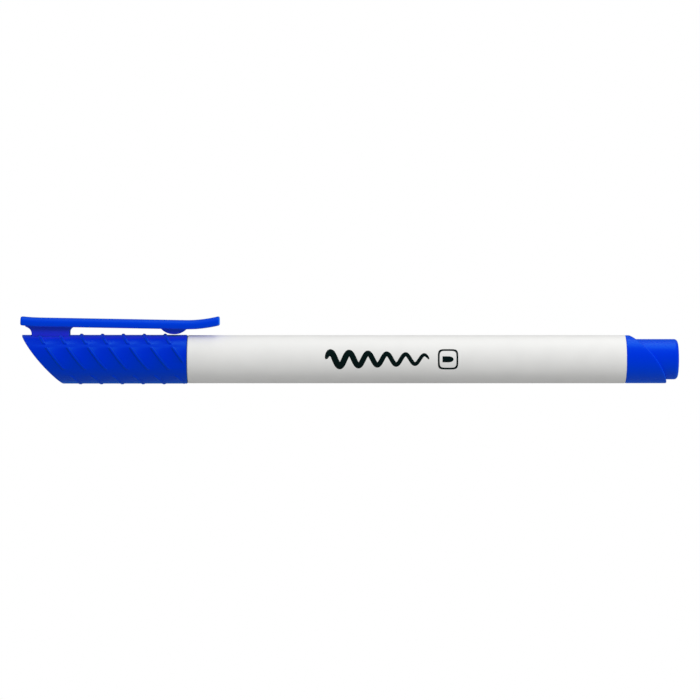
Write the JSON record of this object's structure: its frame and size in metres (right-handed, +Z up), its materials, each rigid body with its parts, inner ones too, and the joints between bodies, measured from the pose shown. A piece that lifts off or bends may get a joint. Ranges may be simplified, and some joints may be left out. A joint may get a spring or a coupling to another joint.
{
  "type": "whiteboard marker",
  "caption": "Slim round whiteboard marker with a pull-off ribbed cap and springy clip, a bullet nib fed by a fibre ink reservoir, and a stepped rear plug.",
  "frame": {"origin": "on the barrel's axis, halfway along the barrel tube", "axes": "+X along the barrel towards the rear plug, so the cap and nib point to -X; +Z up through the clip; +Y to the far side"},
  "size_m": [0.1366, 0.0106, 0.0143],
  "materials": {
    "barrel_white": "satin moulded polypropylene, pale grey-white",
    "section_white": "satin moulded polypropylene",
    "nib_fibre": "bonded polyester fibre soaked in blue ink",
    "reservoir_fibre": "bundled fibre soaked in blue ink",
    "reservoir_film": "thin clear film",
    "plug_blue": "satin moulded polypropylene, deep blue",
    "liner_natural": "unpigmented soft polyethylene",
    "cap_blue": "satin moulded polypropylene, deep blue"
  },
  "bodies": {
    "barrel": {"barrel_tube": "barrel_white", "front_section": "section_white", "nib": "nib_fibre", "reservoir_core": "reservoir_fibre", "reservoir_film": "reservoir_film", "rear_plug": "plug_blue"},
    "inner_cap": {"inner_cap": "liner_natural"},
    "cap": {"cap_shell": "cap_blue"},
    "clip": {"clip_arm": "cap_blue"}
  },
  "joints": [
    {"name": "cap_pull", "type": "slide", "parent": "barrel", "child": "inner_cap", "axis": [-1, 0, 0], "range_m": [0, 0.045]},
    {"name": "cap_turn", "type": "hinge", "parent": "inner_cap", "child": "cap", "pos_m": [-0.06, 0, 0], "axis": [1, 0, 0], "continuous": true},
    {"name": "clip_flex", "type": "hinge", "parent": "cap", "child": "clip", "pos_m": [-0.06898, 0, 0.00761], "axis": [0, -1, 0], "range_deg": [0, 5], "stiffness_Nm_per_rad": 0.46}
  ]
}
